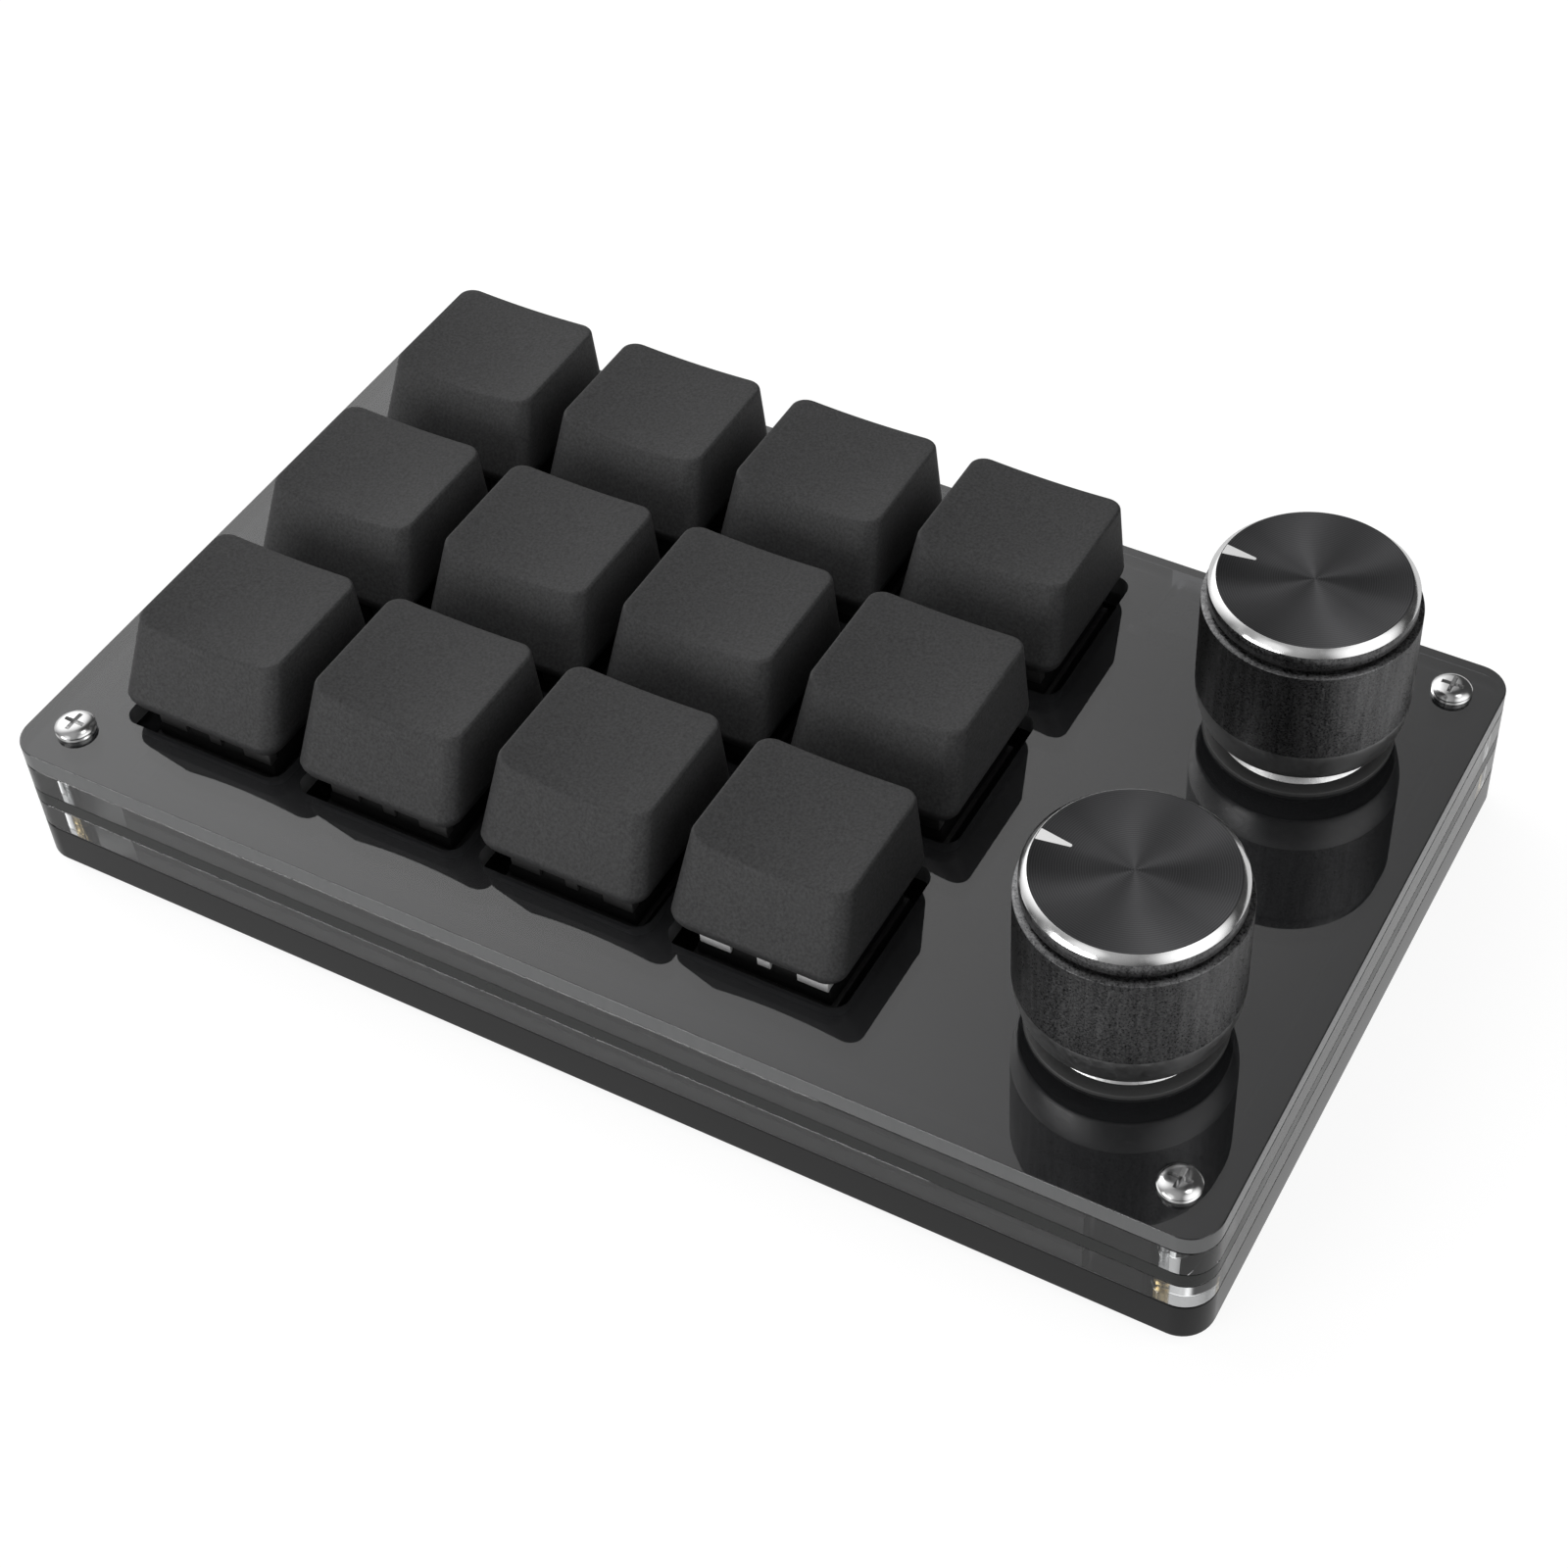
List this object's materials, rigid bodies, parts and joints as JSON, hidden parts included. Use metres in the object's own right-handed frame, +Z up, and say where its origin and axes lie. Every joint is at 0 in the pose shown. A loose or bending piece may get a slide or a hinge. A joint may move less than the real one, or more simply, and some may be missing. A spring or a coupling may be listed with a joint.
{
  "type": "macro keypad",
  "caption": "Desk keypad with blank low-profile keys and a column of push-and-turn knobs on a stack of clear and smoky sheets.",
  "frame": {"origin": "middle of the footprint, level with the undersides of the rubber feet", "axes": "+Z up, front edge towards -Y, knob column on the +X side"},
  "size_m": [0.118, 0.069, 0.0334],
  "materials": {
    "bottom_plate": "smooth black acrylic",
    "clear_frame": "clear acrylic with polished edges",
    "circuit_board": "dark solder mask",
    "top_plate": "smoky acrylic, mirror smooth",
    "screw_steel": "bright plated steel",
    "insert_brass": "turned brass",
    "foot_rubber": "matt rubber",
    "socket_steel": "drawn shell, satin",
    "chip_plastic": "moulded package",
    "switch_base": "moulded",
    "switch_cover": "moulded, slightly milky",
    "contact_metal": "stamped leaf",
    "trim_ring": "satin",
    "keycap": "fine grain",
    "key_stem": "moulded",
    "spring_steel": "bright wire",
    "encoder_body": "pressed metal",
    "encoder_plunger": "moulded",
    "encoder_shaft": "turned",
    "knob_shell": "dark anodised, spun top and knurled side",
    "knob_insert": "moulded"
  },
  "bodies": {
    "case": {"bottom_plate": "bottom_plate", "lower_frame": "clear_frame", "circuit_board": "circuit_board", "upper_frame": "clear_frame", "top_plate": "top_plate", "corner_screws": "screw_steel", "brass_inserts": "insert_brass", "rubber_feet": "foot_rubber", "usb_socket": "socket_steel", "controller_chip": "chip_plastic", "switch_bases": "switch_base", "switch_covers": "switch_cover", "switch_contacts": "contact_metal", "trim_rings": "trim_ring", "encoder_body_back": "encoder_body", "encoder_body_front": "encoder_body", "key_spring_1": "spring_steel", "key_spring_2": "spring_steel", "key_spring_3": "spring_steel", "key_spring_4": "spring_steel", "key_spring_5": "spring_steel", "key_spring_6": "spring_steel", "key_spring_7": "spring_steel", "key_spring_8": "spring_steel", "key_spring_9": "spring_steel", "key_spring_10": "spring_steel", "key_spring_11": "spring_steel", "key_spring_12": "spring_steel"},
    "key_1": {"keycap_1": "keycap", "key_stem_1": "key_stem"},
    "key_2": {"keycap_2": "keycap", "key_stem_2": "key_stem"},
    "key_3": {"keycap_3": "keycap", "key_stem_3": "key_stem"},
    "key_4": {"keycap_4": "keycap", "key_stem_4": "key_stem"},
    "key_5": {"keycap_5": "keycap", "key_stem_5": "key_stem"},
    "key_6": {"keycap_6": "keycap", "key_stem_6": "key_stem"},
    "key_7": {"keycap_7": "keycap", "key_stem_7": "key_stem"},
    "key_8": {"keycap_8": "keycap", "key_stem_8": "key_stem"},
    "key_9": {"keycap_9": "keycap", "key_stem_9": "key_stem"},
    "key_10": {"keycap_10": "keycap", "key_stem_10": "key_stem"},
    "key_11": {"keycap_11": "keycap", "key_stem_11": "key_stem"},
    "key_12": {"keycap_12": "keycap", "key_stem_12": "key_stem"},
    "push_back": {"encoder_plunger_back": "encoder_plunger"},
    "knob_back": {"encoder_shaft_back": "encoder_shaft", "knob_shell_back": "knob_shell", "knob_insert_back": "knob_insert"},
    "push_front": {"encoder_plunger_front": "encoder_plunger"},
    "knob_front": {"encoder_shaft_front": "encoder_shaft", "knob_shell_front": "knob_shell", "knob_insert_front": "knob_insert"}
  },
  "joints": [
    {"name": "key_1_press", "type": "slide", "parent": "case", "child": "key_1", "axis": [0, 0, 1], "range_m": [-0.003, 0], "stiffness_N_per_m": 90, "springref_m": 0.004, "deforming": ["key_spring_1"]},
    {"name": "key_2_press", "type": "slide", "parent": "case", "child": "key_2", "axis": [0, 0, 1], "range_m": [-0.003, 0], "stiffness_N_per_m": 90, "springref_m": 0.004, "deforming": ["key_spring_2"]},
    {"name": "key_3_press", "type": "slide", "parent": "case", "child": "key_3", "axis": [0, 0, 1], "range_m": [-0.003, 0], "stiffness_N_per_m": 90, "springref_m": 0.004, "deforming": ["key_spring_3"]},
    {"name": "key_4_press", "type": "slide", "parent": "case", "child": "key_4", "axis": [0, 0, 1], "range_m": [-0.003, 0], "stiffness_N_per_m": 90, "springref_m": 0.004, "deforming": ["key_spring_4"]},
    {"name": "key_5_press", "type": "slide", "parent": "case", "child": "key_5", "axis": [0, 0, 1], "range_m": [-0.003, 0], "stiffness_N_per_m": 90, "springref_m": 0.004, "deforming": ["key_spring_5"]},
    {"name": "key_6_press", "type": "slide", "parent": "case", "child": "key_6", "axis": [0, 0, 1], "range_m": [-0.003, 0], "stiffness_N_per_m": 90, "springref_m": 0.004, "deforming": ["key_spring_6"]},
    {"name": "key_7_press", "type": "slide", "parent": "case", "child": "key_7", "axis": [0, 0, 1], "range_m": [-0.003, 0], "stiffness_N_per_m": 90, "springref_m": 0.004, "deforming": ["key_spring_7"]},
    {"name": "key_8_press", "type": "slide", "parent": "case", "child": "key_8", "axis": [0, 0, 1], "range_m": [-0.003, 0], "stiffness_N_per_m": 90, "springref_m": 0.004, "deforming": ["key_spring_8"]},
    {"name": "key_9_press", "type": "slide", "parent": "case", "child": "key_9", "axis": [0, 0, 1], "range_m": [-0.003, 0], "stiffness_N_per_m": 90, "springref_m": 0.004, "deforming": ["key_spring_9"]},
    {"name": "key_10_press", "type": "slide", "parent": "case", "child": "key_10", "axis": [0, 0, 1], "range_m": [-0.003, 0], "stiffness_N_per_m": 90, "springref_m": 0.004, "deforming": ["key_spring_10"]},
    {"name": "key_11_press", "type": "slide", "parent": "case", "child": "key_11", "axis": [0, 0, 1], "range_m": [-0.003, 0], "stiffness_N_per_m": 90, "springref_m": 0.004, "deforming": ["key_spring_11"]},
    {"name": "key_12_press", "type": "slide", "parent": "case", "child": "key_12", "axis": [0, 0, 1], "range_m": [-0.003, 0], "stiffness_N_per_m": 90, "springref_m": 0.004, "deforming": ["key_spring_12"]},
    {"name": "knob_back_push", "type": "slide", "parent": "case", "child": "push_back", "axis": [0, 0, 1], "range_m": [-0.0005, 0], "stiffness_N_per_m": 1500, "springref_m": 0.001},
    {"name": "knob_back_turn", "type": "hinge", "parent": "push_back", "child": "knob_back", "pos_m": [0.0438, 0.01985, 0], "axis": [0, 0, 1], "continuous": true},
    {"name": "knob_front_push", "type": "slide", "parent": "case", "child": "push_front", "axis": [0, 0, 1], "range_m": [-0.0005, 0], "stiffness_N_per_m": 1500, "springref_m": 0.001},
    {"name": "knob_front_turn", "type": "hinge", "parent": "push_front", "child": "knob_front", "pos_m": [0.0438, -0.01665, 0], "axis": [0, 0, 1], "continuous": true}
  ]
}
